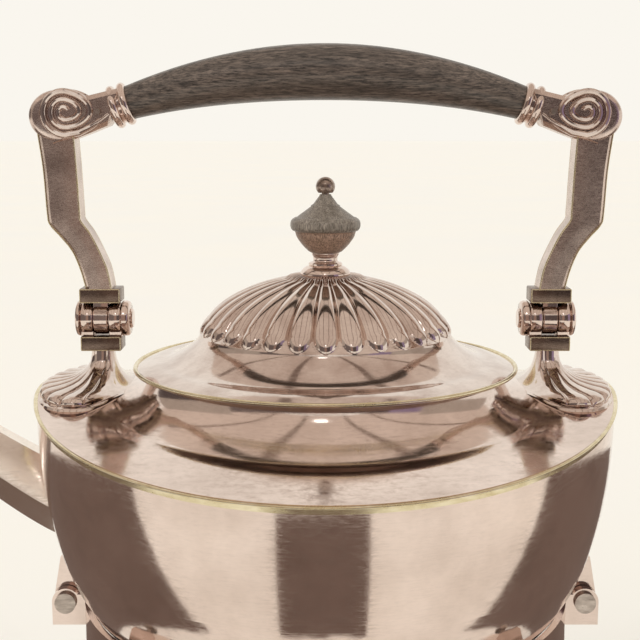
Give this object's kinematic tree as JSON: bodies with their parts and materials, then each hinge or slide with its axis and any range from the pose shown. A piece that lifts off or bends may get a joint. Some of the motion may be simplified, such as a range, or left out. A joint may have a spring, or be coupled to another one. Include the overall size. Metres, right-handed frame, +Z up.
{
  "type": "spirit kettle on stand",
  "caption": "Tilting kettle with fluted hinged lid, spout and swing bail handle, standing over a spirit lamp in a legged stand.",
  "frame": {"origin": "on the table at the centre of the object's bounding box", "axes": "+Z up, spout towards -X, lid hinge on the +Y side"},
  "size_m": [0.2384, 0.1824, 0.2953],
  "materials": {
    "silver_plate": "polished silver plate with a warm rose cast, worn and finely scratched, over brass",
    "worn_edge": "bare brass showing where the plate has worn through",
    "pin_metal": "satin",
    "ball_metal": "tarnished, satin",
    "knob_wood": "weathered dark hardwood",
    "grip_wood": "ebonised hardwood, satin",
    "wick_cotton": "braided cotton",
    "lamp_brass": "satin brass"
  },
  "bodies": {
    "stand": {"cradle_ring": "silver_plate", "lamp_ring": "silver_plate", "leg_screws": "pin_metal", "strut_screws": "pin_metal", "tilt_bracket": "silver_plate", "tilt_pin": "pin_metal", "rest_bracket": "silver_plate", "rest_pin": "pin_metal", "back_right_leg": "silver_plate", "back_right_foot_pad": "silver_plate", "back_right_strut": "silver_plate", "back_left_leg": "silver_plate", "back_left_foot_pad": "silver_plate", "back_left_strut": "silver_plate", "front_left_leg": "silver_plate", "front_left_foot_pad": "silver_plate", "front_left_strut": "silver_plate", "front_right_leg": "silver_plate", "front_right_foot_pad": "silver_plate", "front_right_strut": "silver_plate"},
    "kettle": {"bowl": "silver_plate", "shoulder_plate": "silver_plate", "rim_band": "worn_edge", "neck_ring": "silver_plate", "spout": "silver_plate", "tilt_lug": "silver_plate", "rest_lug": "silver_plate", "lid_hinge_post": "silver_plate", "lid_hinge_pin": "pin_metal", "left_handle_foot": "silver_plate", "right_handle_foot": "silver_plate", "left_hinge_pin": "silver_plate", "right_hinge_pin": "silver_plate"},
    "bail": {"grip": "grip_wood", "grip_pins": "pin_metal", "left_bail_arm": "silver_plate", "right_bail_arm": "silver_plate", "left_ferrule": "silver_plate", "right_ferrule": "silver_plate"},
    "lid": {"lid_shell": "silver_plate", "lid_bezel": "silver_plate", "lid_hinge_leaf": "silver_plate", "finial_base": "silver_plate", "finial_knob": "knob_wood", "finial_rod": "ball_metal", "finial_washer": "pin_metal", "finial_nut": "pin_metal"},
    "lamp": {"lamp_reservoir": "silver_plate", "burner_collar": "lamp_brass", "wick_tube": "lamp_brass", "wick": "wick_cotton", "filler_neck": "lamp_brass", "snuffer_bracket": "silver_plate", "snuffer_pin": "pin_metal"},
    "snuffer": {"snuffer_cap": "silver_plate", "snuffer_arm": "silver_plate"},
    "filler_cap": {"filler_cap": "lamp_brass"}
  },
  "joints": [
    {"name": "kettle_tilt", "type": "hinge", "parent": "stand", "child": "kettle", "pos_m": [-0.0562, 0, 0.118], "axis": [0, -1, 0], "range_deg": [0, 40]},
    {"name": "bail_swing", "type": "hinge", "parent": "kettle", "child": "bail", "pos_m": [0.0278, 0, 0.2101], "axis": [1, 0, 0], "range_deg": [-85, 85]},
    {"name": "lid_hinge", "type": "hinge", "parent": "kettle", "child": "lid", "pos_m": [0.0278, 0.0646, 0.1972], "axis": [-1, 0, 0], "range_deg": [0, 40]},
    {"name": "lamp_lift", "type": "slide", "parent": "stand", "child": "lamp", "axis": [0, 0, 1], "range_m": [0, 0.01]},
    {"name": "snuffer_hinge", "type": "hinge", "parent": "lamp", "child": "snuffer", "pos_m": [0.0423, 0, 0.061], "axis": [0, 1, 0], "range_deg": [0, 95]},
    {"name": "filler_cap_turn", "type": "hinge", "parent": "lamp", "child": "filler_cap", "pos_m": [0.0073, 0, 0.052], "axis": [0, 0, 1], "continuous": true}
  ]
}
